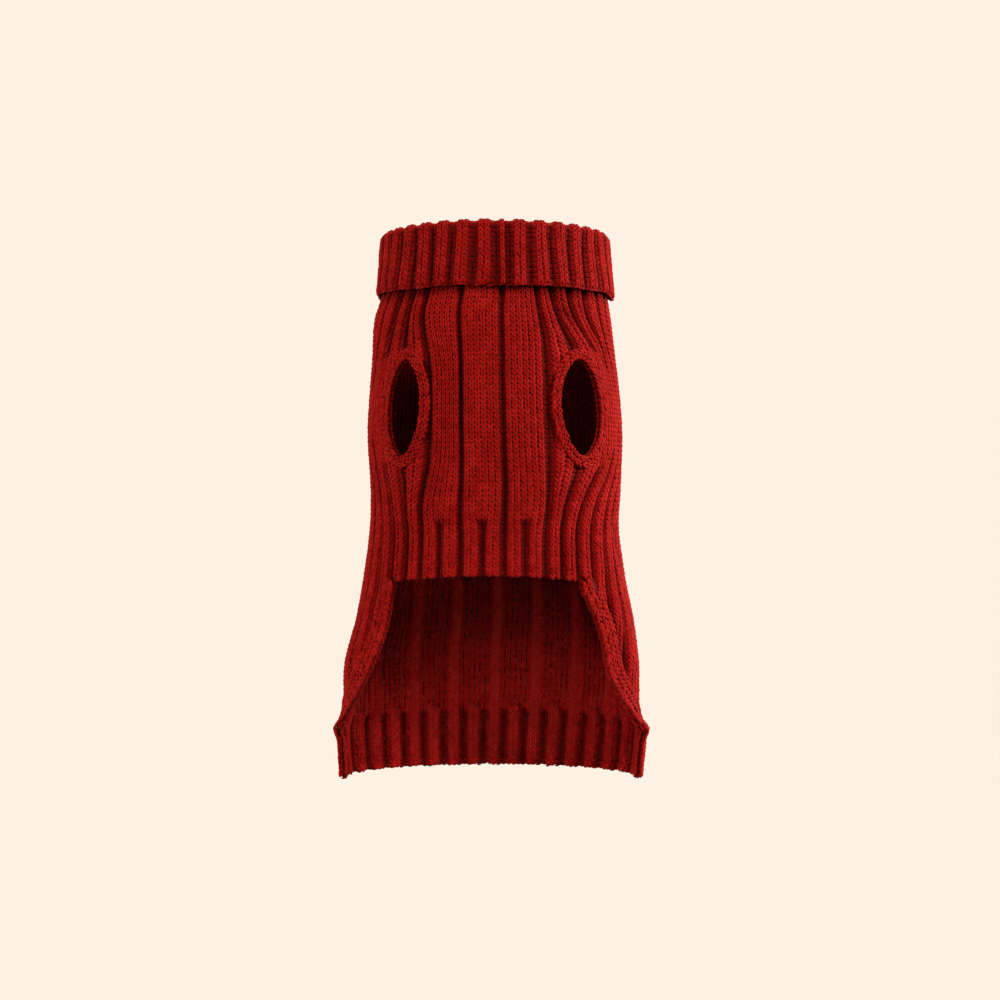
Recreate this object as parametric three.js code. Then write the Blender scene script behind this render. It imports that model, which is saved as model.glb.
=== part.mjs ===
// A rib-knitted dog sweater, filled out as if worn, standing neck up.
// Millimetres. +Z is the neck, -Y the belly, +X the wearer's left.
// The origin is the middle of the chest, level with the leg holes.

import * as THREE from 'three';

// Driving dimensions
const wall = 3;             // thickness of the knitted cloth
const seamGap = 0.3;        // clearance where two pieces are sewn together
const neckSeamHeight = 92;  // the panels are sewn to the collar here
const ribTopHeight = -79;   // the belly's ribbing starts here
const bellyCorner = -121;   // the belly's edge at its two corners
const bellyArch = 5.5;      // how far the belly's edge rises between them
const hemTopHeight = -224;  // the hem's ribbing starts here
const hemEdgeHeight = -265; // the hem's lower edge
const sideBandWidth = 7;
const dyedWool = 0x7d0f0c;

// A worn leg hole is a tall oval on the seam, a little pointed, with a narrow band knitted round it.
const legHole = { middle: -3, halfHeight: 33, bandWidth: 7, tipWidth: 8, roundness: 0.58 };
const legHoleHalfWidth = { left: 18.5, right: 15 };

// The collar is a tube turned down over itself. Its section is given from its inner face.
const collar = { halfWidth: 76.6, frontDepth: 66, backDepth: 66, sides: 44 };
const collarEdge = 79;      // height of its free edge, before it dips in front
const collarSection = [
  { out: 0.0, z: 92.3 },
  { out: -0.4, z: 106 },
  { out: -1.2, z: 119.5 },
  { out: -0.4, z: 122.6 },
  { out: 2.0, z: 124 },
  { out: 4.4, z: 122.6 },
  { out: 5.4, z: 119.5 },
  { out: 6.5, z: 110 },
  { out: 7.6, z: 98 },
  { out: 8.9, z: 86 },
  { out: 9.3, z: collarEdge },
  { out: 6.3, z: collarEdge },
  { out: 5.9, z: 86 },
  { out: 4.5, z: 98 },
  { out: 3.4, z: 110 },
  { out: 2.5, z: 118.6 },
  { out: 1.9, z: 118.6 },
  { out: 2.6, z: 106 },
  { out: 3.0, z: 92.3 },
];
// Below a height, the turned-down layer is a little longer in front than behind
const frontDip = { below: 98, depth: 2.5, outerLayer: 4 };

// Outer face of the body, one section a row
const sections = [
  { z: 96, halfWidth: 79.4, frontDepth: 68.8, backDepth: 68.8, centreX: 0, centreY: 0 },
  { z: 88, halfWidth: 79.9, frontDepth: 69.4, backDepth: 69.2, centreX: 0, centreY: 0 },
  { z: 78, halfWidth: 81.8, frontDepth: 71.2, backDepth: 70.4, centreX: -0.2, centreY: 0 },
  { z: 62, halfWidth: 85.4, frontDepth: 74.6, backDepth: 72, centreX: -1.5, centreY: 0 },
  { z: 35, halfWidth: 87.6, frontDepth: 77.2, backDepth: 73.6, centreX: -1.1, centreY: 0 },
  { z: 6, halfWidth: 90.2, frontDepth: 78.4, backDepth: 74.6, centreX: -0.7, centreY: 0 },
  { z: -20, halfWidth: 91.6, frontDepth: 78.4, backDepth: 75, centreX: -0.2, centreY: 0 },
  { z: -58, halfWidth: 90.2, frontDepth: 77, backDepth: 75, centreX: 0.8, centreY: 0 },
  { z: -86, halfWidth: 90, frontDepth: 75.4, backDepth: 74.4, centreX: -0.2, centreY: 0.3 },
  { z: -121, halfWidth: 94.4, frontDepth: 73.6, backDepth: 73, centreX: -0.5, centreY: 0.8 },
  { z: -150, halfWidth: 100, frontDepth: 70, backDepth: 69.6, centreX: -0.5, centreY: 1.6 },
  { z: -182, halfWidth: 106.6, frontDepth: 64, backDepth: 63.4, centreX: -2.6, centreY: 2.8 },
  { z: -208, halfWidth: 107.4, frontDepth: 58.6, backDepth: 58.2, centreX: -2.8, centreY: 4 },
  { z: -220, halfWidth: 108, frontDepth: 56.8, backDepth: 56.6, centreX: -3.2, centreY: 4.4 },
  { z: -232, halfWidth: 112.4, frontDepth: 55.8, backDepth: 55.8, centreX: -2.6, centreY: 4.8 },
  { z: -268, halfWidth: 110.6, frontDepth: 54.4, backDepth: 54.4, centreX: -3, centreY: 5.4 },
];

// The line where front meets back, in degrees from the middle of the belly, on the wearer's
// left and right. It runs through the leg holes and on along the bands beside the belly opening.
const seamLine = [
  { z: 96, left: 40, right: 40 },
  { z: 40, left: 42, right: 42.5 },
  { z: -3, left: 42.5, right: 43.5 },
  { z: -50, left: 42, right: 45.5 },
  { z: -90, left: 42, right: 50 },
  { z: -121, left: 44, right: 53 },
  { z: -145, left: 50.5, right: 53.5 },
  { z: -165, left: 54, right: 55 },
  { z: -182, left: 56, right: 58.5 },
  { z: -196, left: 62, right: 66 },
  { z: -208, left: 72, right: 77 },
  { z: -217, left: 82, right: 87 },
  { z: -224, left: 88, right: 92 },
];

// How finely each piece's curve is cut into flats: columns across it and rows down it
const columns = { front: 14, back: 28, hem: 26 };
const rows = { aboveHole: 5, besideHole: 12, belowHole: 4, ribbing: 4, besideOpening: 14 };
const smallStep = { turn: 0.01, height: 0.01, seam: 0.5 };

const degree = Math.PI / 180;

// Every column of a table at one height, on a smooth curve through the table's rows
function rowAt(table, z) {
  let k = 0;
  while (k < table.length - 2 && z < table[k + 1].z) k += 1;
  const [before, from, to, after] = [k - 1, k, k + 1, k + 2]
    .map((i) => table[Math.min(Math.max(i, 0), table.length - 1)]);
  const run = to.z - from.z;
  const t = (z - from.z) / run;
  const found = { z };
  for (const name of Object.keys(from).filter((key) => key !== 'z')) {
    const slopeFrom = before === from ? 0 : ((to[name] - before[name]) / (to.z - before.z)) * run;
    const slopeTo = after === to ? 0 : ((after[name] - from[name]) / (after.z - from.z)) * run;
    const rise = to[name] - from[name];
    found[name] = from[name] + slopeFrom * t
      + (3 * rise - 2 * slopeFrom - slopeTo) * t ** 2
      + (slopeFrom + slopeTo - 2 * rise) * t ** 3;
  }
  return found;
}

// A place on a section's outline. Angle 0 is the middle of the belly, 90 the wearer's left.
function outlinePoint(section, angle) {
  const depth = Math.cos(angle) > 0 ? section.frontDepth : section.backDepth;
  const x = (section.centreX ?? 0) + section.halfWidth * Math.sin(angle);
  const y = (section.centreY ?? 0) - depth * Math.cos(angle);
  return new THREE.Vector3(x, y, section.z);
}

// A place in the body's wall: inset 0 is the outer face, and wall the inner one
function bodyPoint(angle, z, inset) {
  const place = outlinePoint(rowAt(sections, z), angle);
  const round = outlinePoint(rowAt(sections, z), angle + smallStep.turn).sub(place);
  const up = outlinePoint(rowAt(sections, z + smallStep.height), angle).sub(place);
  return place.addScaledVector(round.cross(up).normalize(), -inset);
}

// Millimetres of cloth to a radian of turn, at one place on the body
function clothPerTurn(angle, z) {
  const section = rowAt(sections, z);
  const depth = Math.cos(angle) > 0 ? section.frontDepth : section.backDepth;
  return Math.hypot(section.halfWidth * Math.cos(angle), depth * Math.sin(angle));
}

// The volume that faces hold, below zero where they point inwards
function volumeInside(points, faces) {
  let volume = 0;
  for (let k = 0; k < faces.length; k += 3) {
    const [a, b, c] = [0, 1, 2].map((i) => points[faces[k + i]]);
    volume += a.dot(b.clone().cross(c)) / 6;
  }
  return volume;
}

// A closed body from rings of points that run round its wall, each ring a closed outline
function bodyOfRings(rings, joinsItself) {
  const count = rings[0].length;
  const positions = rings.flat().flatMap((point) => [point.x, point.y, point.z]);
  const faces = [];
  const spans = joinsItself ? rings.length : rings.length - 1;
  for (let i = 0; i < spans; i += 1) {
    const here = i * count;
    const next = ((i + 1) % rings.length) * count;
    for (let j = 0; j < count; j += 1) {
      const k = (j + 1) % count;
      faces.push(here + j, next + j, next + k, here + j, next + k, here + k);
    }
  }
  if (!joinsItself) {
    const last = (rings.length - 1) * count;
    for (let j = 0; j < count / 2 - 1; j += 1) {
      const a = j;
      const b = j + 1;
      const c = count - 2 - j;
      const d = count - 1 - j;
      faces.push(a, b, c, a, c, d, last + a, last + c, last + b, last + a, last + d, last + c);
    }
  }
  const geometry = new THREE.BufferGeometry();
  geometry.setAttribute('position', new THREE.Float32BufferAttribute(positions, 3));
  geometry.setIndex(volumeInside(rings.flat(), faces) > 0 ? faces : faces.reverse());
  return geometry;
}

// A wall of cloth between two edges: each row gives its height and the angles it runs between
function clothWall(edgeRows, columnCount) {
  const rings = edgeRows.map(({ zAt, from, to }) => {
    const outer = [];
    const inner = [];
    for (let j = 0; j <= columnCount; j += 1) {
      const angle = from + ((to - from) * j) / columnCount;
      outer.push(bodyPoint(angle, zAt(angle), 0));
      inner.push(bodyPoint(angle, zAt(angle), wall));
    }
    return [...outer, ...inner.reverse()];
  });
  return bodyOfRings(rings, false);
}

const sideSign = { left: 1, right: -1 };

function seamAngle(side, z) {
  return rowAt(seamLine, z)[side] * degree;
}

// The leg hole's outline grown by a margin: a point at a turn round it, from the seam
function holeOutline(side, turn, growWidth, growHeight) {
  const halfHeight = legHole.halfHeight + growHeight;
  const halfWidth = legHoleHalfWidth[side] + growWidth;
  const across = Math.sign(Math.cos(turn)) * Math.abs(Math.cos(turn)) ** (2 * legHole.roundness);
  return { across: halfWidth * across, z: legHole.middle + halfHeight * Math.sin(turn) };
}

// How far a panel's edge stands back from the seam to go round the leg hole and its band
const panelMargin = { width: legHole.bandWidth + seamGap, height: legHole.tipWidth + 2 * seamGap };

function notch(side, z) {
  const halfHeight = legHole.halfHeight + panelMargin.height;
  const rise = (z - legHole.middle) / halfHeight;
  if (Math.abs(rise) >= 1) return 0;
  return (legHoleHalfWidth[side] + panelMargin.width) * (1 - rise ** 2) ** legHole.roundness;
}

function frontEdge(side, z) {
  const seam = seamAngle(side, z);
  return sideSign[side] * (seam - (notch(side, z) + seamGap) / clothPerTurn(seam, z));
}

function backEdge(side, z) {
  const seam = seamAngle(side, z);
  return seam + notch(side, z) / clothPerTurn(seam, z);
}

// Heights of the panels' rows: evenly down the cloth, and closer round the leg hole
function evenly(from, to, count) {
  return Array.from({ length: count + 1 }, (_, k) => from + ((to - from) * k) / count);
}

const holeHeights = evenly(Math.PI / 2, -Math.PI / 2, rows.besideHole)
  .map((turn) => holeOutline('left', turn, 0, panelMargin.height).z);
const aboveHole = evenly(neckSeamHeight, holeHeights[0], rows.aboveHole);
const belowHole = evenly(holeHeights[rows.besideHole], ribTopHeight, rows.belowHole);
const besideRib = evenly(ribTopHeight, bellyCorner, rows.ribbing);
const besideOpening = evenly(bellyCorner, hemTopHeight, rows.besideOpening);

const frontHeights = [...aboveHole, ...holeHeights.slice(1), ...belowHole.slice(1)];
const backHeights = [...frontHeights, ...besideRib.slice(1), ...besideOpening.slice(1)];

function level(z) {
  return () => z;
}

function frontPanel() {
  const edgeRows = frontHeights.map((height) => {
    const z = height === ribTopHeight ? height + seamGap : height;
    return { zAt: level(z), from: frontEdge('right', height), to: frontEdge('left', height) };
  });
  return clothWall(edgeRows, columns.front);
}

function backPanel() {
  const edgeRows = backHeights.map((height) => {
    const z = height === hemTopHeight ? height + seamGap : height;
    const to = 2 * Math.PI - backEdge('right', height);
    return { zAt: level(z), from: backEdge('left', height), to };
  });
  return clothWall(edgeRows, columns.back);
}

// The belly's ribbing ends in an edge that rises a little between its corners
function bellyRib() {
  const edgeRows = evenly(0, 1, rows.ribbing).map((share, k) => {
    const from = frontEdge('right', besideRib[k]);
    const to = frontEdge('left', besideRib[k]);
    const zAt = (angle) => {
      const off = (2 * angle - from - to) / (to - from);
      const edge = bellyCorner + bellyArch * (1 - off ** 2);
      return ribTopHeight + (edge - ribTopHeight) * share;
    };
    return { zAt, from, to };
  });
  return clothWall(edgeRows, columns.front);
}

// The inner edge of a side band, its width away from the seam, at a right angle to it
function bandInnerEdge(side, z) {
  const step = smallStep.seam;
  const seam = seamAngle(side, z);
  const scale = clothPerTurn(seam, z);
  const along = (seamAngle(side, z - step) - seamAngle(side, z + step)) * scale;
  const length = Math.hypot(along, 2 * step);
  const across = (sideBandWidth * 2 * step) / length;
  const down = (sideBandWidth * along) / length;
  return { angle: seam - across / scale, z: Math.max(z - down, hemTopHeight + seamGap) };
}

function sideBand(side) {
  const rings = besideOpening.map((height, k) => {
    const ends = { 0: height - seamGap, [besideOpening.length - 1]: height + seamGap };
    const z = ends[k] ?? height;
    const seam = seamAngle(side, height) - seamGap / clothPerTurn(seamAngle(side, height), height);
    const inner = bandInnerEdge(side, height);
    const innerZ = k === 0 ? z : inner.z;
    const sign = sideSign[side];
    return [
      bodyPoint(sign * inner.angle, innerZ, 0),
      bodyPoint(sign * seam, z, 0),
      bodyPoint(sign * seam, z, wall),
      bodyPoint(sign * inner.angle, innerZ, wall),
    ];
  });
  return bodyOfRings(rings, false);
}

function hemRib() {
  const from = bandInnerEdge('left', hemTopHeight).angle;
  const to = 2 * Math.PI - bandInnerEdge('right', hemTopHeight).angle;
  const edgeRows = evenly(hemTopHeight, hemEdgeHeight, rows.ribbing)
    .map((z) => ({ zAt: level(z), from, to }));
  return clothWall(edgeRows, columns.hem);
}

function legBand(side) {
  const rings = evenly(0, 2 * Math.PI, 2 * rows.besideHole).slice(0, -1).map((turn) => {
    const near = holeOutline(side, turn, 0, 0);
    const far = holeOutline(side, turn, legHole.bandWidth, legHole.tipWidth);
    const place = ({ across, z }, inset) => {
      const seam = seamAngle(side, z);
      return bodyPoint(sideSign[side] * (seam + across / clothPerTurn(seam, z)), z, inset);
    };
    return [place(near, 0), place(near, wall), place(far, wall), place(far, 0)];
  });
  return bodyOfRings(rings, true);
}

function foldedCollar() {
  const turns = evenly(0, 2 * Math.PI, collar.sides).slice(0, -1);
  const rings = turns.map((angle) => collarSection.map(({ out, z }) => {
    const section = { z };
    for (const name of ['halfWidth', 'frontDepth', 'backDepth']) section[name] = collar[name] + out;
    const turnedDown = out > frontDip.outerLayer && z < frontDip.below;
    const lower = turnedDown ? (frontDip.below - z) / (frontDip.below - collarEdge) : 0;
    section.z -= lower * frontDip.depth * Math.cos(angle);
    return outlinePoint(section, angle);
  }));
  return bodyOfRings(rings, true);
}

const sweater = new THREE.Group();

function addCloth(name, geometry) {
  const material = new THREE.MeshStandardMaterial({ color: dyedWool, roughness: 0.95, metalness: 0 });
  const mesh = new THREE.Mesh(geometry, material);
  mesh.name = name;
  sweater.add(mesh);
}

addCloth('collar', foldedCollar());
addCloth('front_panel', frontPanel());
addCloth('back_panel', backPanel());
addCloth('belly_rib', bellyRib());
addCloth('hem_rib', hemRib());
for (const side of ['left', 'right']) {
  addCloth(`leg_band_${side}`, legBand(side));
  addCloth(`side_band_${side}`, sideBand(side));
}

export default sweater;
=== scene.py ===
import math

import bpy
import numpy as np
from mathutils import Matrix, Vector


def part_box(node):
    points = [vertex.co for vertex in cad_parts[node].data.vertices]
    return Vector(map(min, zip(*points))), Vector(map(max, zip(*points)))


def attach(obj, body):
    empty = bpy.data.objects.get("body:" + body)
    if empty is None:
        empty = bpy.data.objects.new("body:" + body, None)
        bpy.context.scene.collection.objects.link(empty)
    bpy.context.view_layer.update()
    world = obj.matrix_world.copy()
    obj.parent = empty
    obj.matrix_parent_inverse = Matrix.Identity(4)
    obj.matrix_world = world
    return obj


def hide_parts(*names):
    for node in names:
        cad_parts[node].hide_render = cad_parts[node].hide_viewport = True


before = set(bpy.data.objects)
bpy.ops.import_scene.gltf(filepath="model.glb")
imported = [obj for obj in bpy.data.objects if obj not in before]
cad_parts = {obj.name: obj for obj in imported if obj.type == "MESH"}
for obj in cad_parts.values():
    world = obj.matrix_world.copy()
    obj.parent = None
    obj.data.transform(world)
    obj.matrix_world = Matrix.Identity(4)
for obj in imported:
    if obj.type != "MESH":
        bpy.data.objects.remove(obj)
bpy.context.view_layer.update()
print("frame loaded")

mm = 0.001

# The sweater's outer face is worked out in millimetres, as its pattern is.
# sections: height, half width, depth in front, depth behind, centre across, centre in depth
bodyForm = {
    "sections": [
        (96, 79.4, 68.8, 68.8, 0, 0),
        (88, 79.9, 69.4, 69.2, 0, 0),
        (78, 81.8, 71.2, 70.4, -0.2, 0),
        (62, 85.4, 74.6, 72, -1.5, 0),
        (35, 87.6, 77.2, 73.6, -1.1, 0),
        (6, 90.2, 78.4, 74.6, -0.7, 0),
        (-20, 91.6, 78.4, 75, -0.2, 0),
        (-58, 90.2, 77, 75, 0.8, 0),
        (-86, 90, 75.4, 74.4, -0.2, 0.3),
        (-121, 94.4, 73.6, 73, -0.5, 0.8),
        (-150, 100, 70, 69.6, -0.5, 1.6),
        (-182, 106.6, 64, 63.4, -2.6, 2.8),
        (-208, 107.4, 58.6, 58.2, -2.8, 4),
        (-220, 108, 56.8, 56.6, -3.2, 4.4),
        (-232, 112.4, 55.8, 55.8, -2.6, 4.8),
        (-268, 110.6, 54.4, 54.4, -3, 5.4),
    ],
    # the seam line: height, degrees from the middle of the belly on the wearer's left and right
    "seam": [
        (96, 40, 40),
        (40, 42, 42.5),
        (-3, 42.5, 43.5),
        (-50, 42, 45.5),
        (-90, 42, 50),
        (-121, 44, 53),
        (-145, 50.5, 53.5),
        (-165, 54, 55),
        (-182, 56, 58.5),
        (-196, 62, 66),
        (-208, 72, 77),
        (-217, 82, 87),
        (-224, 88, 92),
    ],
    "ribTop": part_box("front_panel")[0].z / mm,
    "hemTop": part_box("hem_rib")[1].z / mm,
    "hemEdge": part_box("hem_rib")[0].z / mm,
    "bellyCorner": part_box("belly_rib")[0].z / mm,
    "bellyArch": 5.5,
    "neckSeam": 92,
}

legHole = {"middle": -3, "halfHeight": 33, "bandWidth": 7, "tipWidth": 8, "roundness": 0.58,
           "halfWidth": {"left": 18.5, "right": 15}}
sideSign = {"left": 1, "right": -1}

knitting = {
    "rowHeight": 3.25,
    "knitWidth": 4.3,     # a knit stitch across
    "purlWidth": 2.1,     # a purl stitch, drawn in between the ribs
    "hemWidth": 3.55,     # either stitch in the hem, which lies open
    "backKnit": 4.0,      # the back's ribs lie further open too
    "backPurl": 3.0,
    "girth": 518.6,       # round the chest
    "middleGroove": 6.3,  # the groove down the belly, off to the wearer's left
    "ribDepth": 2.9,      # how far a purl groove lies behind the ribs
    "waleDepth": 0.85,    # and the line between two knit stitches
    "yarnLift": -0.95,    # the middle of a knit stitch's yarn, from the outer face
    "innerLift": -2.5,
}


def tableAt(rows, z):
    rows = np.array(rows, float)
    z = np.clip(np.atleast_1d(np.asarray(z, float)), rows[-1, 0], rows[0, 0])
    k = np.clip(np.searchsorted(-rows[:, 0], -z, side="right") - 1, 0, len(rows) - 2)
    before, after = np.maximum(k - 1, 0), np.minimum(k + 2, len(rows) - 1)
    run = rows[k + 1, 0] - rows[k, 0]
    t = ((z - rows[k, 0]) / run)[:, None]
    rise = rows[k + 1, 1:] - rows[k, 1:]

    def slope(low, high):
        return (rows[high, 1:] - rows[low, 1:]) * (run / (rows[high, 0] - rows[low, 0]))[:, None]

    slopeFrom, slopeTo = slope(before, k + 1), slope(k, after)
    slopeFrom[before == k] = 0
    slopeTo[after == k + 1] = 0
    return (rows[k, 1:] + slopeFrom * t + (3 * rise - 2 * slopeFrom - slopeTo) * t ** 2
            + (slopeFrom + slopeTo - 2 * rise) * t ** 3)


def pick(grid, u, v):
    # a value between the four nearest points of a grid
    u = np.clip(u, 0, grid.shape[0] - 1.001)
    v = np.clip(v, 0, grid.shape[1] - 1.001)
    i, j = u.astype(int), v.astype(int)
    a, b = u - i, v - j
    if grid.ndim == 3:
        a, b = a[:, None], b[:, None]
    return (grid[i, j] * (1 - a) * (1 - b) + grid[i + 1, j] * a * (1 - b)
            + grid[i, j + 1] * (1 - a) * b + grid[i + 1, j + 1] * a * b)


# The outer face as a grid of heights and turns, with its normals and its length round each ring
gridStep = {"z": 2.0, "zFrom": -275.0, "turn": math.radians(1), "share": 1 / 720}
gridZ = np.arange(gridStep["zFrom"], 131, gridStep["z"])
gridTurn = np.radians(np.arange(-180, 181))
gridShare = np.linspace(-0.5, 0.5, 721)


def buildForm():
    section = tableAt(bodyForm["sections"], gridZ)[:, None, :]
    turn = gridTurn[None, :]
    depth = np.where(np.cos(turn) > 0, section[..., 1], section[..., 2])
    place = np.stack([section[..., 3] + section[..., 0] * np.sin(turn),
                      section[..., 4] - depth * np.cos(turn),
                      np.broadcast_to(gridZ[:, None], depth.shape)], axis=2)
    round_ = np.gradient(place, axis=1)
    up = np.gradient(place, axis=0)
    normal = np.cross(round_, up)
    normal /= np.linalg.norm(normal, axis=2, keepdims=True)
    steps = np.linalg.norm(np.diff(place, axis=1), axis=2)
    arc = np.concatenate([np.zeros((len(gridZ), 1)), np.cumsum(steps, axis=1)], axis=1)
    arc -= arc[:, [180]]
    girth = arc[:, -1] - arc[:, 0]
    share = arc / girth[:, None]
    turnOf = np.array([np.interp(gridShare, row, gridTurn) for row in share])
    return {"place": place, "normal": normal, "turnOf": turnOf}


form = buildForm()


def zIndex(z):
    return (z - gridStep["zFrom"]) / gridStep["z"]


def turnIndex(turn):
    return (turn + math.pi) / gridStep["turn"]


def wrapTurn(turn):
    return (turn + math.pi) % (2 * math.pi) - math.pi


def turnFromShare(share, z):
    share = (share + 0.5) % 1 - 0.5
    return pick(form["turnOf"], zIndex(z), (share + 0.5) / gridStep["share"])


def onForm(turn, z, lift):
    turn = wrapTurn(turn)
    place = pick(form["place"], zIndex(z), turnIndex(turn))
    normal = pick(form["normal"], zIndex(z), turnIndex(turn))
    normal /= np.linalg.norm(normal, axis=1, keepdims=True)
    return place + normal * lift[:, None]


def seamTurn(side, z):
    return np.radians(tableAt(bodyForm["seam"], z)[:, 0 if side == "left" else 1])


def nearSeam(turn, z):
    return np.where(turn > 0, seamTurn("left", z), seamTurn("right", z))


def clothPerTurn(turn, z):
    section = tableAt(bodyForm["sections"], z)
    depth = np.where(np.cos(turn) > 0, section[:, 1], section[:, 2])
    return np.hypot(section[:, 0] * np.cos(turn), depth * np.sin(turn))


def holeReach(side, z, growWidth=0.0, growHeight=0.0):
    # half the width of the leg hole at a height, in millimetres of cloth
    rise = (z - legHole["middle"]) / (legHole["halfHeight"] + growHeight)
    open_ = np.clip(1 - rise ** 2, 0, None) ** legHole["roundness"]
    return (legHole["halfWidth"][side] + growWidth) * open_


# The chart: one row of stitches round the body, from the belly's middle groove both ways
wideRib, narrowRib = "kkkkkkpp", "kkpp"
bodyChart = {
    "toLeft": wideRib + narrowRib * 5 + wideRib * 5,
    "toRight": wideRib * 2 + narrowRib * 4 + wideRib * 4 + "kkkkkk",
}


chartZones = {
    "frontHalf": 18,      # stitches either side of the groove that turn to ribbing at the belly
    "backFrom": 32,       # where the back's own widths start
    "pastBelly": 14,      # how far the ribbing's chart runs on below the belly's corner
    "ribbingDraw": 0.94,  # how far that ribbing draws in
    "hemEase": 2,
    "easeRows": 2.2, "easeReach": 6,
}


def purlRing(toLeft, toRight):
    return np.array([s == "p" for s in toRight[::-1] + "pp" + toLeft])


def chartWidths(purl, heights, middle, lower, front):
    wales = np.arange(purl.shape[1])
    width = np.where(purl, knitting["purlWidth"], knitting["knitWidth"])
    behind = np.abs(wales + 0.5 - middle) > chartZones["backFrom"]
    width[:, behind] = np.where(purl[:, behind], knitting["backPurl"], knitting["backKnit"])
    # a wide rib keeps its width where it is split into narrow ones
    groups = (wales - middle - 1) // len(wideRib)
    for g in np.unique(groups):
        inGroup = groups == g
        even = width[-1, inGroup].sum()
        width[:, inGroup] *= even / width[:, inGroup].sum(axis=1, keepdims=True)
    width[np.ix_(lower, front)] *= chartZones["ribbingDraw"]
    width[heights < bodyForm["hemTop"] - chartZones["hemEase"]] = knitting["hemWidth"]
    reach = chartZones["easeReach"]
    kernel = np.exp(-0.5 * (np.arange(-reach, reach + 1) / chartZones["easeRows"]) ** 2)
    kernel /= kernel.sum()
    padded = np.pad(width, ((reach, reach), (0, 0)), mode="edge")
    width = np.array([(padded[r:r + len(kernel)] * kernel[:, None]).sum(axis=0) for r in range(len(width))])
    return width * (knitting["girth"] / width.sum(axis=1, keepdims=True))


def layChart():
    toLeft, toRight = bodyChart["toLeft"], bodyChart["toRight"]
    purlBody = purlRing(toLeft, toRight)
    purlRibs = purlRing(narrowRib * (len(toLeft) // 4), (narrowRib * 20)[:len(toRight)])
    rows = int(round((bodyForm["neckSeam"] + 6 - bodyForm["hemEdge"]) / knitting["rowHeight"]))
    heights = bodyForm["hemEdge"] + (np.arange(rows) + 0.5) * knitting["rowHeight"]
    middle = len(toRight) + 1
    purl = np.tile(purlBody, (rows, 1))
    purl[heights < bodyForm["hemTop"]] = purlRibs
    front = np.abs(np.arange(len(purlBody)) + 0.5 - middle) < chartZones["frontHalf"]
    lower = (heights < bodyForm["ribTop"]) & (heights > bodyForm["bellyCorner"] - chartZones["pastBelly"])
    purl[np.ix_(lower, front)] = purlRibs[front]
    width = chartWidths(purl, heights, middle, lower, front)
    edges = np.concatenate([np.zeros((rows, 1)), np.cumsum(width, axis=1)], axis=1)
    edges += knitting["middleGroove"] - edges[:, [middle]]
    return {"purl": purl.astype(float), "edges": edges, "rows": rows, "wales": len(purlBody)}


chart = layChart()
print("chart laid:", chart["wales"], "wales,", chart["rows"], "rows")


# How the wales part round each leg hole, in millimetres of cloth from the belly's middle: the wale
# that ends at the hole, its shift to the hole's middle, the spread either side, and the lean of the
# wales up to the collar
parting = {
    "left": {"at": 49, "shift": 13, "spread": 18, "ease": 14, "neckLean": -8, "leanAt": 47},
    "right": {"at": -66, "shift": 1.5, "spread": 15, "ease": 14, "neckLean": 4, "leanAt": -60},
}


def gridPoints(wales, rows):
    w, r = np.meshgrid(wales, rows)
    return w.ravel(), r.ravel(), w.shape


def gridQuads(index):
    corners = [index[:-1, :-1], index[:-1, 1:], index[1:, 1:], index[1:, :-1]]
    return np.stack(corners, axis=2).reshape(-1, 4)


def betweenWales(wale):
    return 0.5 + 0.5 * np.cos(2 * math.pi * wale)


def easeIn(value):
    value = np.clip(value, 0, 1)
    return value * value * (3 - 2 * value)


def partRound(c, z):
    beside = np.exp(-(np.abs(z - legHole["middle"]) / 52) ** 4)
    above = easeIn((z - 35) / (bodyForm["neckSeam"] - 35))
    moved = c.copy()
    for side, part in parting.items():
        off = c - part["at"]
        spread = part["shift"] + part["spread"] * np.tanh(off / part["ease"])
        reach = np.where(off * sideSign[side] > 0, 62, 29)
        moved += beside * spread * np.exp(-(off / reach) ** 2)
        moved += above * part["neckLean"] * np.exp(-((c - part["leanAt"]) / 25) ** 2)
    return moved


softFolds = [
    # turn in degrees, height, lean in degrees from upright, half length, half width, depth
    (34, 66, -32, 18, 3.6, 1.8),
    (51, 53, -30, 26, 4, 1.5),
    (-54, 59, 12, 24, 4.2, 3.2),
    (66, 30, -8, 24, 7, 1.2),
    (74, -96, -20, 30, 7, 1.9),
    (60, -160, -16, 36, 5, 2.2),
    (78, -152, -14, 34, 4, 1.3),
    (97, -140, -6, 40, 9, -1.3),
    (68, -186, -26, 20, 6, 1.6),
    (-78, -140, 16, 34, 8, 2.0),
    (-82, -176, 10, 30, 5, 2.4),
    (-30, -60, 8, 26, 9, 0.9),
    (28, -64, -10, 24, 8, 0.9),
    (140, 40, 6, 60, 12, 1.6),
    (-150, -20, -8, 70, 13, 1.8),
    (165, -150, 5, 50, 12, 1.8),
    (-125, -150, -12, 46, 11, 1.9),
    (118, -60, -10, 48, 11, 1.6),
    (-118, 60, 10, 30, 9, 1.4),
    # the hem's front corners stand out
    (83, -230, 0, 5.5, 6, -3.8),
    (-87, -230, 0, 5.5, 6, -3.8),
]


# slow ripples all over: size, waves round, millimetres of height to a radian, start
ripples = [(0.35, 5, 31, 0), (0.3, 9, -23, 1)]
foldRadius = 85


def foldLift(turn, z):
    lift = sum(size * np.sin(turn * waves + z / rise + start) for size, waves, rise, start in ripples)
    for at, height, lean, halfLength, halfWidth, depth in softFolds:
        across = wrapTurn(turn - math.radians(at)) * foldRadius
        up = z - height
        slope = math.radians(lean)
        along = up * math.cos(slope) + across * math.sin(slope)
        off = across * math.cos(slope) - up * math.sin(slope)
        lift = lift - depth * np.exp(-(along / halfLength) ** 2 - (off / halfWidth) ** 2)
    return lift


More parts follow.
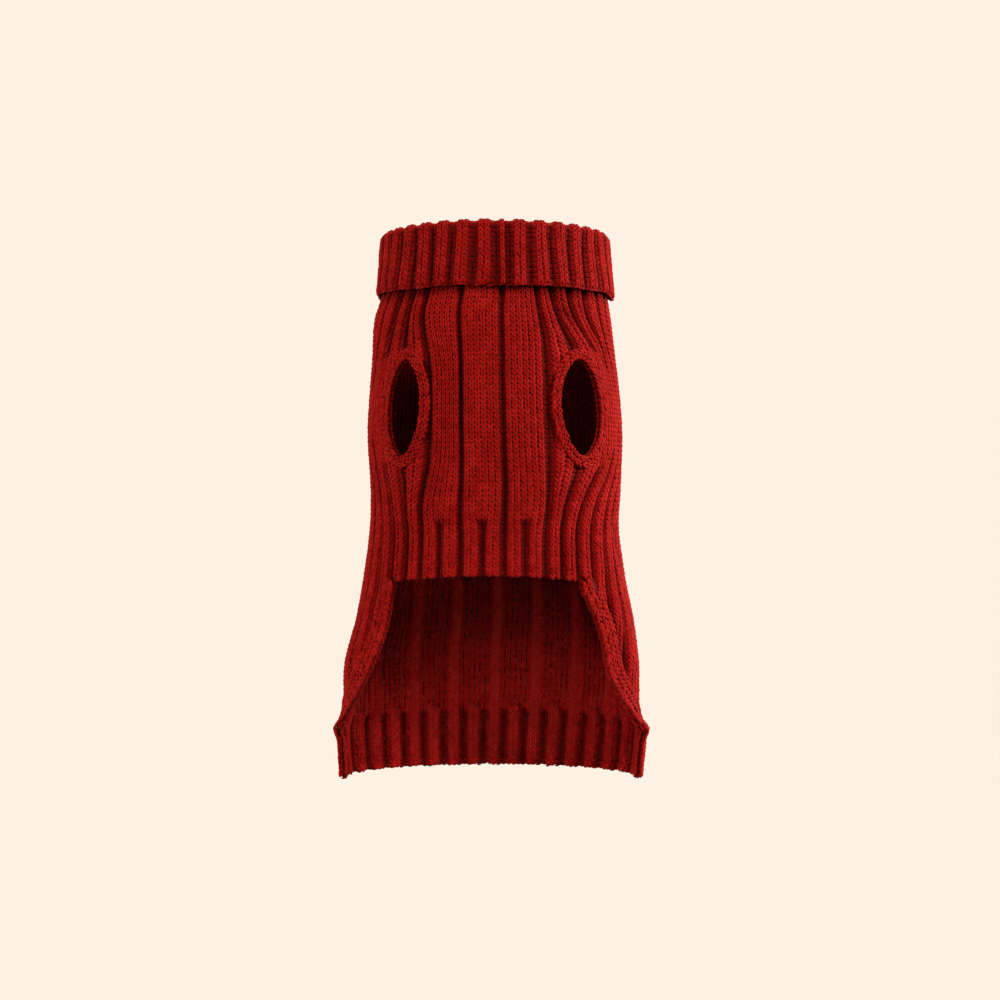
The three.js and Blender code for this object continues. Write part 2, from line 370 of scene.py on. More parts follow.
def grooveAt(wale, row):
    # 0 on the ribs and 1 in the grooves between them, eased across the stitches
    j = (wale - 0.5) % chart["wales"]
    r = np.clip(row - 0.5, 0, chart["rows"] - 1.001)
    j0, r0 = j.astype(int), r.astype(int)
    j1 = (j0 + 1) % chart["wales"]
    a, b = easeIn(j - j0), r - r0
    deep = chart["purl"]
    return (deep[r0, j0] * (1 - a) * (1 - b) + deep[r0 + 1, j0] * (1 - a) * b
            + deep[r0, j1] * a * (1 - b) + deep[r0 + 1, j1] * a * b)


def bodyPlace(wale, row):
    z = bodyForm["hemEdge"] + row * knitting["rowHeight"]
    c = pick(chart["edges"], np.clip(row - 0.5, 0, None), wale)
    c = partRound(c, z)
    turn = turnFromShare(c / knitting["girth"], z)
    side = nearSeam(turn, z)
    # the belly's edge rises between its corners, and its ribbing is a little shorter there
    inFront = np.clip(1 - (turn / side) ** 2, 0, None) * (np.abs(turn) < side)
    ribbing = np.clip((bodyForm["ribTop"] - z) / (bodyForm["ribTop"] - bodyForm["bellyCorner"]), 0, 1.5)
    z = z + bodyForm["bellyArch"] * inFront * ribbing * (z > bodyForm["bellyCorner"] - 12)
    return turn, z


def bodyPoint(wale, row, lift):
    turn, z = bodyPlace(wale, row)
    # the grooves run out at the collar's seam
    groove = grooveAt(wale, row) * (1 - easeIn((z - bodyForm["neckSeam"] + 10) / 8))
    between = betweenWales(wale)
    folds = foldLift(turn, z)
    tucked = easeIn((z - bodyForm["neckSeam"]) / 4)
    point = onForm(turn, z, lift - knitting["ribDepth"] * groove - knitting["waleDepth"] * between
                   + folds * (1 - tucked) + 0.9 * tucked)
    # painted shade, how dark it lies: low between the ribs, in the yarn's low parts and in the folds outside,
    # with a painted shadow under the collar's edge, and further up inside
    low = np.clip((knitting["yarnLift"] - lift) / 1.1, 0, 1)
    # a painted shadow on the body just below the collar's free edge
    underCollar = easeIn((z - bodyForm["neckSeam"] + 21) / 6)
    outside = 0.8 * groove + 0.2 * between * (1 - groove) + 0.25 * low + 0.15 * np.clip(-folds, 0, 3)
    outside = outside + 0.5 * underCollar
    # painted shade inside: darker going up from the hem, easing again above the middle
    upInside = easeIn((z + 222) / 80) - 0.7 * easeIn((z + 105) / 60)
    inHem = z < bodyForm["hemTop"]
    inside = np.where(inHem, 0.85, 0.32) * (1 - groove) + 0.54 * upInside
    return point, np.clip(np.where(lift < -1.75, inside, outside), 0, 1)


# Which piece a stitch belongs to, or none where the cloth is cut away
def seamOffset(side, turn, z):
    # across the cloth from a seam line, outwards from the belly
    return (sideSign[side] * turn - seamTurn(side, z)) * clothPerTurn(turn, z)


def pieceOf(wale, row):
    turn, z = bodyPlace(wale, row)
    piece = np.full(len(z), "back_panel", dtype="<U12")
    seam = nearSeam(turn, z)
    inFront = np.abs(turn) < seam
    bellyEdge = bodyForm["bellyCorner"] + bodyForm["bellyArch"] * (1 - (turn / seam) ** 2)
    piece[inFront] = "front_panel"
    piece[inFront & (z < bodyForm["ribTop"])] = "belly_rib"
    piece[inFront & (z < bellyEdge)] = "none"
    hemStart = np.where(turn > 0, hemFrom["left"], hemFrom["right"])
    piece[(z < bodyForm["hemTop"]) & (np.abs(turn) > hemStart)] = "hem_rib"
    for side, sign in sideSign.items():
        off = seamOffset(side, turn, z)
        level = np.abs(z - legHole["middle"]) < legHole["halfHeight"] + legHole["tipWidth"]
        onSide = (sign * turn > 0) & level
        cut = holeReach(side, z, legHole["bandWidth"] - 1.5, legHole["tipWidth"] - 2)
        piece[onSide & (np.abs(off) < cut)] = "none"
    return piece, turn, z


hemFrom = {}
for side in sideSign:
    corner = seamTurn(side, bodyForm["hemTop"])
    hemFrom[side] = (corner - 7 / clothPerTurn(corner, np.array([bodyForm["hemTop"]])))[0]


def fillBesideHoles():
    # plain knitting, with no grooves, on the outer side of each leg hole
    w, r, shape = gridPoints(np.arange(chart["wales"]) + 0.5, np.arange(chart["rows"]) + 0.5)
    turn, z = bodyPlace(w, r)
    plain = np.zeros(len(z), bool)
    for side, sign in sideSign.items():
        off = seamOffset(side, turn, z)
        beside = (sign * turn > 0) & (off > 0) & (off < holeReach(side, z, 27, 12))
        plain |= beside & (np.abs(z - legHole["middle"]) < legHole["halfHeight"] + 8)
    chart["purl"][plain.reshape(shape)] = 0


# A group of geometry nodes that sets one yarn stitch on every point: two legs that lean apart
# for a knit stitch, and one short bar for a purl
stitchSizes = {"Leg Width": 0.275, "Leg Length": 0.82, "Leg Thickness": 1.15, "Lean": 0.28,
               "Bar Width": 0.62, "Bar Height": 0.42, "Bar Thickness": 0.85, "Unevenness": 0.07,
               "Leg Sides": 6}


def addSocket(tree, name, kind, value=None, output=False):
    socket = tree.interface.new_socket(name, in_out="OUTPUT" if output else "INPUT", socket_type=kind)
    if value is not None:
        socket.default_value = value
    return socket


def giveSocket(tree, socket, value):
    if isinstance(value, bpy.types.NodeSocket):
        tree.links.new(value, socket)
    else:
        socket.default_value = value


def addNode(tree, kind, inputs=None, **settings):
    made = tree.nodes.new(kind)
    for key, value in settings.items():
        setattr(made, key, value)
    for key, value in (inputs or {}).items():
        giveSocket(tree, made.inputs[key], value)
    return made


def addMaths(tree, operation, a, b=0):
    return addNode(tree, "ShaderNodeMath", {0: a, 1: b}, operation=operation).outputs[0]


def buildStitchTree():
    tree = bpy.data.node_groups.new("yarnStitches", "GeometryNodeTree")
    addSocket(tree, "Points", "NodeSocketGeometry")
    for name, value in stitchSizes.items():
        addSocket(tree, name, "NodeSocketInt" if isinstance(value, int) else "NodeSocketFloat", value)
    addSocket(tree, "Seed", "NodeSocketInt", 4)
    addSocket(tree, "Yarn", "NodeSocketMaterial")
    addSocket(tree, "Stitches", "NodeSocketGeometry", output=True)
    given = tree.nodes.new("NodeGroupInput").outputs

    def node(kind, inputs=None, **settings):
        return addNode(tree, kind, inputs, **settings)

    def vector(x, y, z):
        return node("ShaderNodeCombineXYZ", {0: x, 1: y, 2: z}).outputs[0]

    def maths(operation, a, b):
        return addMaths(tree, operation, a, b)

    def enabled(sockets, name):
        return [s for s in sockets if s.name == name and s.enabled][0]

    def lobe(segments, scale, turn, move=(0, 0, 0), lean=(0, 0, 0)):
        ball = node("GeometryNodeMeshUVSphere", {"Segments": segments, "Rings": 3, "Radius": 1}).outputs
        mapped = node("GeometryNodeStoreNamedAttribute",
                      {"Geometry": ball["Mesh"], "Name": "yarnUv", "Value": ball["UV Map"]},
                      data_type="FLOAT2", domain="CORNER").outputs[0]
        laid = node("GeometryNodeTransform", {"Geometry": mapped, "Scale": scale, "Rotation": turn}).outputs[0]
        moved = node("GeometryNodeTransform", {"Geometry": laid, "Translation": move, "Rotation": lean})
        return moved.outputs[0]

    def chance(kind, low, high, offset):
        made = node("FunctionNodeRandomValue", data_type=kind)
        for name, value in (("Min", low), ("Max", high)):
            giveSocket(tree, enabled(made.inputs, name), value)
        giveSocket(tree, made.inputs["Seed"], maths("ADD", given["Seed"], offset))
        return enabled(made.outputs, "Value")

    knit, joined = node("GeometryNodeJoinGeometry"), node("GeometryNodeJoinGeometry")
    legScale = vector(given["Leg Width"], given["Leg Thickness"], given["Leg Length"])
    for sign in (-1, 1):
        aside = vector(maths("MULTIPLY", given["Leg Width"], 0.86 * sign), 0, 0)
        lean = vector(0, 0, maths("MULTIPLY", given["Lean"], -sign))
        leg = lobe(given["Leg Sides"], legScale, (-math.pi / 2, 0, 0), aside, lean)
        giveSocket(tree, knit.inputs[0], leg)
    barScale = vector(given["Bar Height"], given["Bar Thickness"], given["Bar Width"])
    purl = lobe(4, barScale, (0, math.pi / 2, math.pi / 2))

    uneven = given["Unevenness"]
    tinted = node("GeometryNodeStoreNamedAttribute",
                  {"Geometry": given["Points"], "Name": "tint", "Value": chance("FLOAT", 0.0, 1.0, 1)},
                  data_type="FLOAT", domain="POINT").outputs[0]
    low, high = (vector(*[maths("MULTIPLY", uneven, sign * k) for k in (0.7, 0.9, 1.6)]) for sign in (-1, 1))
    shift = chance("FLOAT_VECTOR", low, high, 2)
    shifted = node("GeometryNodeSetPosition", {"Geometry": tinted, "Offset": shift}).outputs[0]
    kindOf = node("GeometryNodeInputNamedAttribute", {"Name": "purl"}, data_type="BOOLEAN")
    isPurl = enabled(kindOf.outputs, "Attribute")
    isKnit = node("FunctionNodeBooleanMath", {0: isPurl}, operation="NOT").outputs[0]
    least, most = maths("SUBTRACT", 1, uneven), maths("ADD", 1, uneven)
    for chosen, stitch, offset in ((isKnit, knit.outputs[0], 3), (isPurl, purl, 4)):
        size = chance("FLOAT_VECTOR", vector(least, least, least), vector(most, most, most), offset)
        twist = vector(0, 0, chance("FLOAT", -0.07, 0.07, offset + 4))
        placed = node("GeometryNodeInstanceOnPoints", {"Points": shifted, "Selection": chosen,
                                                       "Instance": stitch, "Scale": size, "Rotation": twist})
        giveSocket(tree, joined.inputs[0], placed.outputs[0])
    real = node("GeometryNodeRealizeInstances", {0: joined.outputs[0]}).outputs[0]
    smooth = node("GeometryNodeSetShadeSmooth", {0: real}).outputs[0]
    dyed = node("GeometryNodeSetMaterial", {"Geometry": smooth, "Material": given["Yarn"]}).outputs[0]
    node("NodeGroupOutput", {0: dyed})
    return tree


stitchTree = buildStitchTree()


def addObject(name, data):
    made = bpy.data.objects.new(name, data)
    bpy.context.scene.collection.objects.link(made)
    return made


def newMesh(name, points, faces, material=None):
    mesh = bpy.data.meshes.new(name)
    mesh.from_pydata([tuple(p) for p in points], [], [tuple(int(k) for k in f) for f in faces])
    mesh.update()
    if material is not None:
        mesh.materials.append(material)
    return addObject(name, mesh)


# each vertex's painted shade, from 0 where lit to 1 in full shade, which the yarn's colour darkens by
def setPaintedShade(mesh, paintedShade):
    mesh.attributes.new("paintedShade", "FLOAT", "POINT").data.foreach_set("value", paintedShade.astype(np.float32))


def shadeSmooth(piece):
    for polygon in piece.data.polygons:
        polygon.use_smooth = True


def yarnStitches(name, wale, row, lift, purl, formed, material, seed=4, sizes=None):
    # stitches are set out flat, in wales and rows, made by the nodes, then laid on the form
    flat = newMesh(name + "Points", np.stack([wale, row, lift], axis=1), [])
    kind = flat.data.attributes.new("purl", "BOOLEAN", "POINT")
    kind.data.foreach_set("value", np.asarray(purl, bool))
    maker = flat.modifiers.new("stitches", "NODES")
    maker.node_group = stitchTree
    sockets = {s.name: s.identifier for s in stitchTree.interface.items_tree if s.in_out == "INPUT"}
    for key, value in {**stitchSizes, **(sizes or {})}.items():
        maker[sockets[key]] = value
    maker[sockets["Seed"]] = seed
    maker[sockets["Yarn"]] = material
    ready = flat.evaluated_get(bpy.context.evaluated_depsgraph_get())
    mesh = bpy.data.meshes.new_from_object(ready, preserve_all_data_layers=True,
                                           depsgraph=bpy.context.evaluated_depsgraph_get())
    bpy.data.objects.remove(flat)
    mesh.name = name
    points = np.zeros(len(mesh.vertices) * 3, np.float32)
    mesh.vertices.foreach_get("co", points)
    points = points.reshape(-1, 3).astype(float)
    points, paintedShade = formed(points[:, 0], points[:, 1], points[:, 2])
    mesh.vertices.foreach_set("co", (points * mm).astype(np.float32).ravel())
    setPaintedShade(mesh, paintedShade)
    mesh.update()
    return addObject(name, mesh)


def closedWall(name, outer, inner, quads, material):
    # the outer faces, the inner ones turned round, and a rim along every open edge
    (outer, outerPaintedShade), (inner, innerPaintedShade) = outer, inner
    count = len(outer)
    edges = {}
    for quad in quads:
        for a, b in zip(quad, np.roll(quad, -1)):
            edges[(int(a), int(b))] = True
    rims = [(a + count, b + count, b, a) for a, b in edges if (b, a) not in edges]
    faces = [tuple(q) for q in quads]
    faces += [tuple(int(k) + count for k in reversed(q)) for q in quads]
    faces += rims
    points = np.concatenate([outer, inner]) * mm
    used = np.unique(np.concatenate([np.ravel(f) for f in faces]))
    renumber = np.zeros(len(points), int)
    renumber[used] = np.arange(len(used))
    piece = newMesh(name, points[used], [renumber[list(f)] for f in faces], material)
    # painted shade: the wall shows only between the stitches, so it is darkened further
    paintedShade = np.clip(np.concatenate([outerPaintedShade, innerPaintedShade])[used] + 0.3, 0, 1)
    setPaintedShade(piece.data, paintedShade)
    shadeSmooth(piece)
    return piece


# Materials
yarnLook = {
    "wool": (0.325, 0.0036, 0.0027),
    "bright": (0.48, 0.013, 0.009),
    # deep is the dark of the heathered yarn, and also the colour painted shade darkens to
    "deep": (0.040, 0.0004, 0.0004),
    "surface": {"Roughness": 0.8, "Specular IOR Level": 0.07, "Specular Tint": (1.0, 0.2, 0.15, 1),
                "Sheen Roughness": 0.4, "Sheen Tint": (1.0, 0.42, 0.36, 1)},
}


def buildYarnGroup():
    # heathered colour and the twist of a plied yarn, from the stitch's own map, with painted shade from each
    # vertex's painted shade value and a painted sheen at grazing angles
    tree = bpy.data.node_groups.new("pliedYarn", "ShaderNodeTree")
    for name, kind, value in (("Wool", "NodeSocketColor", (*yarnLook["wool"], 1)),
                              ("Bright", "NodeSocketColor", (*yarnLook["bright"], 1)),
                              ("Deep", "NodeSocketColor", (*yarnLook["deep"], 1)),
                              ("Twists", "NodeSocketFloat", 3.0),
                              ("Fuzz", "NodeSocketFloat", 900.0),
                              ("Painted Sheen", "NodeSocketFloat", 0.13),
                              ("Painted Sheen Color", "NodeSocketColor", (0.75, 0.16, 0.13, 1))):
        addSocket(tree, name, kind, value)
    addSocket(tree, "Color", "NodeSocketColor", output=True)
    addSocket(tree, "Height", "NodeSocketFloat", output=True)
    given = tree.nodes.new("NodeGroupInput").outputs

    def maths(operation, a, b=0):
        return addMaths(tree, operation, a, b)

    def attribute(name, output="Fac"):
        return addNode(tree, "ShaderNodeAttribute", attribute_name=name).outputs[output]

    def ramp(source, start, end, top=1.0):
        sizes = {"Value": source, "From Min": start, "From Max": end, "To Max": top}
        return addNode(tree, "ShaderNodeMapRange", sizes).outputs[0]

    def mix(factor, a, b):
        # a colour mix has its colours after the sockets for numbers and vectors
        return addNode(tree, "ShaderNodeMix", {"Factor": factor, 6: a, 7: b}, data_type="RGBA").outputs[2]

    place = addNode(tree, "ShaderNodeTexCoord").outputs["Object"]

    def noise(scale):
        sizes = {"Vector": place, "Scale": scale, "Detail": 2.0}
        return addNode(tree, "ShaderNodeTexNoise", sizes).outputs["Fac"]

    own = addNode(tree, "ShaderNodeSeparateXYZ", {0: attribute("yarnUv", "Vector")}).outputs
    turning = maths("ADD", maths("MULTIPLY", own[0], 2.0), maths("MULTIPLY", own[1], given["Twists"]))
    ply = maths("ABSOLUTE", maths("SINE", maths("MULTIPLY", turning, math.pi)))
    fibres, patches = noise(given["Fuzz"]), noise(55.0)
    amount = maths("ADD", maths("MULTIPLY", fibres, 0.55),
                   maths("ADD", maths("MULTIPLY", attribute("tint"), 0.25),
                         maths("ADD", maths("MULTIPLY", patches, 0.35), maths("MULTIPLY", ply, 0.22))))
    colour = mix(ramp(amount, 0.66, 1.05), given["Wool"], given["Bright"])
    colour = mix(ramp(amount, 0.62, 0.36), colour, mix(0.45, given["Wool"], given["Deep"]))
    # painted shade: the colour darkens to the deep colour as the vertex's painted shade rises
    shadow = ramp(attribute("paintedShade"), 0.1, 1.0, 0.97)
    colour = mix(shadow, colour, given["Deep"])
    # painted sheen: a pinkish brightening at grazing angles, fading where shade is painted
    facing = addNode(tree, "ShaderNodeLayerWeight", {"Blend": 0.35}).outputs["Facing"]
    clear = maths("SUBTRACT", 1.0, shadow)
    paintedSheen = maths("MULTIPLY", maths("MULTIPLY", facing, clear), given["Painted Sheen"])
    height = maths("ADD", maths("MULTIPLY", ply, 0.7), maths("MULTIPLY", fibres, 0.5))
    addNode(tree, "NodeGroupOutput", {"Color": mix(paintedSheen, colour, given["Painted Sheen Color"]), "Height": height})
    return tree


yarnGroup = buildYarnGroup()


def yarnMaterial(name, shade=1.0, twists=3.0, sheen=0.04):
    material = bpy.data.materials.new(name)
    material.use_nodes = True
    tree = material.node_tree
    dyes = {key.capitalize(): (*[v * shade for v in yarnLook[key]], 1) for key in ("wool", "bright", "deep")}
    yarn = addNode(tree, "ShaderNodeGroup", {**dyes, "Twists": twists}, node_tree=yarnGroup).outputs
    bump = addNode(tree, "ShaderNodeBump", {"Strength": 0.5, "Distance": 0.0005, "Height": yarn["Height"]})
    look = {**yarnLook["surface"], "Sheen Weight": sheen, "Base Color": yarn["Color"],
            "Normal": bump.outputs["Normal"]}
    for key, value in look.items():
        giveSocket(tree, tree.nodes["Principled BSDF"].inputs[key], value)
    return material


bodyYarn = yarnMaterial("bodyYarn")
trimYarn = yarnMaterial("trimYarn", shade=0.98)
# a darker copy of the yarn with no sheen, as painted shade for the wall seen between the stitches
shadedBackingYarn = yarnMaterial("shadedBackingYarn", shade=0.6, sheen=0.0)
print("yarn mixed")


# The body's cloth: a thin wall under the stitches, one piece for each panel
fillBesideHoles()


def bodyWalls():
    wales = np.arange(0, chart["wales"] + 0.01, 0.5)
    rows = np.arange(0, chart["rows"] + 0.01, 2.0)
    w, r, shape = gridPoints(wales, rows)
    outer = bodyPoint(w, r, np.full(len(w), -1.15))
    inner = bodyPoint(w, r, np.full(len(w), -2.25))
    index = np.arange(len(w)).reshape(shape)
    index[:, -1] = index[:, 0]  # the last wale meets the first at the back
    quads = gridQuads(index)
    midW = (w.reshape(shape)[:-1, :-1] + 0.25).ravel()
    midR = (r.reshape(shape)[:-1, :-1] + 1.0).ravel()
    kind, _, _ = pieceOf(midW, midR)
    walls = {}
    for node in ("front_panel", "back_panel", "belly_rib", "hem_rib"):
        name = node.split("_")[0] + node.split("_")[1].capitalize()
        walls[node] = closedWall(name, outer, inner, quads[kind == node], shadedBackingYarn)
    return walls


bodyCloth = bodyWalls()
print("body walls made")


insideSizes = {"Bar Width": 0.84, "Bar Height": 0.37, "Leg Sides": 4}
backSplit = math.radians(116)


def bodyStitches():
    made = {}
    w, r, _ = gridPoints(np.arange(chart["wales"]) + 0.5, np.arange(chart["rows"]) + 0.5)
    kind, turn, z = pieceOf(w, r)
    purl = chart["purl"][np.clip(r.astype(int), 0, chart["rows"] - 1), w.astype(int)] > 0.5
    underBand = np.zeros(len(w), bool)
    broad = 1 + 4 * easeIn((bodyForm["bellyCorner"] - 8 - z) / 12)
    for side, sign in sideSign.items():
        off = seamOffset(side, turn, z)
        beside = (sign * turn > 0) & (z < bodyForm["bellyCorner"] + 2) & (z > bodyForm["hemTop"])
        underBand |= beside & (off < broad)
    zones = {
        "frontStitches": kind == "front_panel",
        "bellyRibStitches": kind == "belly_rib",
        "hemStitches": kind == "hem_rib",
        "backStitchesLeft": (kind == "back_panel") & (turn > 0) & (turn < backSplit),
        "backStitchesRight": (kind == "back_panel") & (turn <= 0) & (turn > -backSplit),
        "backStitchesMiddle": (kind == "back_panel") & (np.abs(turn) >= backSplit),
    }
    for seed, (name, zone) in enumerate(zones.items()):
        # the outer stitches end under the turned-down collar, and the inner ones at its seam
        for end, lift, below in (("", knitting["yarnLift"], 7), ("Inside", knitting["innerLift"], 0.5)):
            chosen = zone & (z < bodyForm["neckSeam"] - below) & ~underBand
            bars = ~purl[chosen] if end else purl[chosen]
            made[name + end] = yarnStitches(name + end, w[chosen], r[chosen], np.full(chosen.sum(), lift),
                                            bars, bodyPoint, bodyYarn, seed + (13 if end else 3),
                                            insideSizes if end else None)
    return made


bodyYarns = bodyStitches()
print("body knitted")

# The collar's section from the neck seam up inside, over the fold and down outside:
# distance out from the inner face, height, and how far the free edge dips in front
collarForm = {
    "halfWidth": 76.6, "depth": 66.0, "frontDrop": 2.5, "dropFrom": 98.0, "dropTo": 79.0,
    "path": [(0.6, 92.0), (0.2, 106.0), (-0.6, 117.0), (-0.2, 120.6), (2.0, 122.4), (4.2, 120.8),
             (5.0, 117.0), (5.7, 110.0), (6.6, 98.0), (7.9, 86.0), (8.2, 79.4)],
    "chart": "kpp" + "kkpp" * 34,
    "knitWidth": 4.3, "purlWidth": 2.9, "singleWidth": 3.4,
    "seam": 5.9,
    "rowHeight": 3.2,
    "grooves": {"inside": 0.9, "outside": 2.4},
    "seamRadius": 72,
    "outsideFrom": 0.52,  # the share of its length where the cloth turns down outside
    "fan": 0.04,
    "pinch": {"turn": -0.09, "width": 0.07, "size": 0.035},
    "sway": {"size": 0.012, "waves": 11},
    "swell": [(0.5, 6, 0.6), (0.35, 13, 0)],  # size, waves round, start
    "lip": {"turn": 1.45, "width": 0.22, "drop": 3.6},
    "edgeWave": {"size": 0.5, "waves": 7},
}


def layCollar():
    path = np.array(collarForm["path"])
    fine = np.linspace(0, len(path) - 1, 400)
    k = np.clip(fine.astype(int), 0, len(path) - 2)
    t = (fine - k)[:, None]
    before, after = path[np.maximum(k - 1, 0)], path[np.minimum(k + 2, len(path) - 1)]
    a, b = path[k], path[k + 1]
    line = 0.5 * (2 * a + (b - before) * t + (2 * before - 5 * a + 4 * b - after) * t ** 2
                  + (3 * a - before - 3 * b + after) * t ** 3)
    length = np.concatenate([[0], np.cumsum(np.linalg.norm(np.diff(line, axis=0), axis=1))])
    slope = np.gradient(line, axis=0)
    slope /= np.linalg.norm(slope, axis=1, keepdims=True)
    faceOut = np.stack([-slope[:, 1], slope[:, 0]], axis=1)  # the side that shows: in, then up, then out
    purl = np.array([s == "p" for s in collarForm["chart"]])
    width = np.where(purl, collarForm["purlWidth"], collarForm["knitWidth"])
    width[0] = collarForm["singleWidth"]
    edges = np.concatenate([[0], np.cumsum(width)])
    return {"line": line, "length": length, "faceOut": faceOut, "purl": purl, "edges": edges / edges[-1],
            "rows": int(length[-1] / collarForm["rowHeight"])}


collarLay = layCollar()


def collarTurn(wale, down):
    # the wales fan out, sway and pinch together on the outside, more towards the free edge
    share = np.interp(wale, np.arange(len(collarLay["edges"])), collarLay["edges"])
    turn = wrapTurn(-share * 2 * math.pi + collarForm["seam"] / collarForm["seamRadius"])
    pinch, sway = collarForm["pinch"], collarForm["sway"]
    turn = turn + collarForm["fan"] * np.sin(turn) * (down - 0.4) * (down > 0)
    turn = turn - pinch["size"] * np.exp(-((turn - pinch["turn"]) / pinch["width"]) ** 2) * down ** 4
    return turn + sway["size"] * np.sin(turn * sway["waves"] + 2) * down


def collarPoint(wale, row, lift):
    # wales run right to left here, so that the rows climb inside and come down outside
    whole = collarLay["length"][-1]
    along = row * collarForm["rowHeight"]
    at = np.interp(along, collarLay["length"], np.arange(400))
    k = np.clip(at.astype(int), 0, 398)
    t = (at - k)[:, None]
    spot = collarLay["line"][k] * (1 - t) + collarLay["line"][k + 1] * t
    face = collarLay["faceOut"][k] * (1 - t) + collarLay["faceOut"][k + 1] * t
    spot = spot + np.clip(along - whole, 0, None)[:, None] * np.array([0.25, -0.97])
    outsideFrom = collarForm["outsideFrom"]
    down = np.clip((along / whole - outsideFrom) / (1 - outsideFrom), 0, 1.1)
    turn = collarTurn(wale, down)
    j = np.clip(wale - 0.5, 0, len(collarLay["purl"]) - 1.001)
    a = easeIn(j - j.astype(int))
    deep = collarLay["purl"].astype(float)
    groove = deep[j.astype(int)] * (1 - a) + deep[j.astype(int) + 1] * a
    between = betweenWales(wale)
    grooves = collarForm["grooves"]
    depth = grooves["inside"] + (grooves["outside"] - grooves["inside"]) * easeIn(along / whole * 4 - 1.7)
    depth = depth * (1 - 0.55 * easeIn((along - whole + 5) / 5))
    swell = down * sum(size * np.sin(turn * waves + start) for size, waves, start in collarForm["swell"])
    ridge = knitting["waleDepth"] * (0.35 + 0.65 * down.clip(0, 1))
    level = lift - depth * groove - ridge * between + swell
    out = spot[:, 0] + face[:, 0] * level
    z = spot[:, 1] + face[:, 1] * level
    dip = np.clip((collarForm["dropFrom"] - z) / (collarForm["dropFrom"] - collarForm["dropTo"]), 0, 1.1)
    dip *= spot[:, 0] > 3.4
    lip, wave = collarForm["lip"], collarForm["edgeWave"]
    z = z - dip * (collarForm["frontDrop"] * np.cos(turn) + wave["size"] * np.sin(turn * wave["waves"] + 1)
                   + lip["drop"] * np.exp(-((turn - lip["turn"]) / lip["width"]) ** 2))
    x = (collarForm["halfWidth"] + out) * np.sin(turn)
    y = -(collarForm["depth"] + out) * np.cos(turn)
    # painted shade: darker in the deep grooves, between wales and in the yarn's low parts, and at least 0.3
    # over the part that climbs inside
    low = np.clip((0.5 - lift) / 1.1, 0, 1)
    paintedShade = 0.8 * groove * (depth > 1) + 0.25 * between * (1 - groove) + 0.3 * low
    paintedShade = np.where(along < 0.42 * whole, np.maximum(paintedShade, 0.3), paintedShade)
    return np.stack([x, y, z], axis=1), np.clip(paintedShade, 0, 1)


def makeCollar():
    count = len(collarLay["purl"])
    wales = np.arange(0, count + 0.01, 0.5)
    rows = np.linspace(0, collarLay["rows"], 26)
    w, r, shape = gridPoints(wales, rows)
    index = np.arange(len(w)).reshape(shape)
    index[:, -1] = index[:, 0]
    quads = gridQuads(index)
    wall = closedWall("collarCloth", collarPoint(w, r, np.full(len(w), 0.1)),
                      collarPoint(w, r, np.full(len(w), -0.7)), quads, shadedBackingYarn)
    w, r, _ = gridPoints(np.arange(count) + 0.5, np.arange(collarLay["rows"]) + 0.5)
    stitches = yarnStitches("collarStitches", w, r, np.full(len(w), 0.5), collarLay["purl"][w.astype(int)],
                            collarPoint, trimYarn, 31)
    return wall, stitches


collarCloth, collarYarn = makeCollar()
print("collar made")


# Ribbons of stitches along a line: bands round the openings and the chains that finish edges
def ribbonMaker(line, across, normal, waleWidth, stitchLength, closed):
    step = np.linalg.norm(np.diff(np.concatenate([line, line[:1]] if closed else [line]), axis=0), axis=1)
    length = np.concatenate([[0], np.cumsum(step)])
    count = max(2, int(round(length[-1] / stitchLength)))
    if closed:
        line, across, normal = (np.concatenate([part, part[:1]]) for part in (line, across, normal))

    def place(wale, row, lift):
        at = row / count
        at = at % 1 if closed else np.clip(at, 0, 1)
        at = at * length[-1]

        def sample(part):
            return np.stack([np.interp(at, length, part[:, k]) for k in range(3)], axis=1)

        side = sample(across)
        out = sample(normal)
        side /= np.linalg.norm(side, axis=1, keepdims=True)
        out /= np.linalg.norm(out, axis=1, keepdims=True)
        over = np.zeros(len(row)) if closed else row - np.clip(row, 0, count)
        along = np.cross(out, side) * (stitchLength * over)[:, None]
        between = betweenWales(wale)
        # painted shade: darker between wales and in the yarn's low parts, with an even painted shade on the
        # inside stitches
        rise = lift - 0.8 * knitting["waleDepth"] * between
        low = np.clip((0.1 - lift) / 1.3, 0, 1)
        paintedShade = np.where(lift < -1.6, 0.3, 0.25 * between + 0.35 * low)
        return sample(line) + along + side * (wale * waleWidth)[:, None] + out * rise[:, None], paintedShade

    return place, count


def ribbonStitches(name, place, count, wales, lift, seed, sizes=None):
    w, r, _ = gridPoints(np.array(wales), np.arange(count) + 0.5)
    # a third wale starts further down, where the band is broader
    kept = (np.abs(w) < 1) | (r > 3)
    w, r = w[kept], r[kept]
    plain = np.zeros(len(w), bool)
    return yarnStitches(name, w, r, np.full(len(w), lift), plain, place, trimYarn, seed, sizes)


def ribbonWall(name, place, count, edges, closed):
    rows = np.arange(0, count + (0 if closed else 1), 1.0)
    w, r, shape = gridPoints(np.array([edges[0], sum(edges) / 2, edges[1]]), rows)
    index = np.arange(len(w)).reshape(shape)
    if closed:
        index = np.concatenate([index, index[:1]])
    quads = gridQuads(index)
    faces = [place(w, r, np.full(len(w), bandLook[face])) for face in ("outer", "inner")]
    return closedWall(name, *faces, quads, shadedBackingYarn)


def lineOnForm(turn, z):
    return onForm(turn, z, foldLift(turn, z))


def normalsOnForm(turn, z):
    normal = pick(form["normal"], zIndex(z), turnIndex(wrapTurn(turn)))
    return normal / np.linalg.norm(normal, axis=1, keepdims=True)


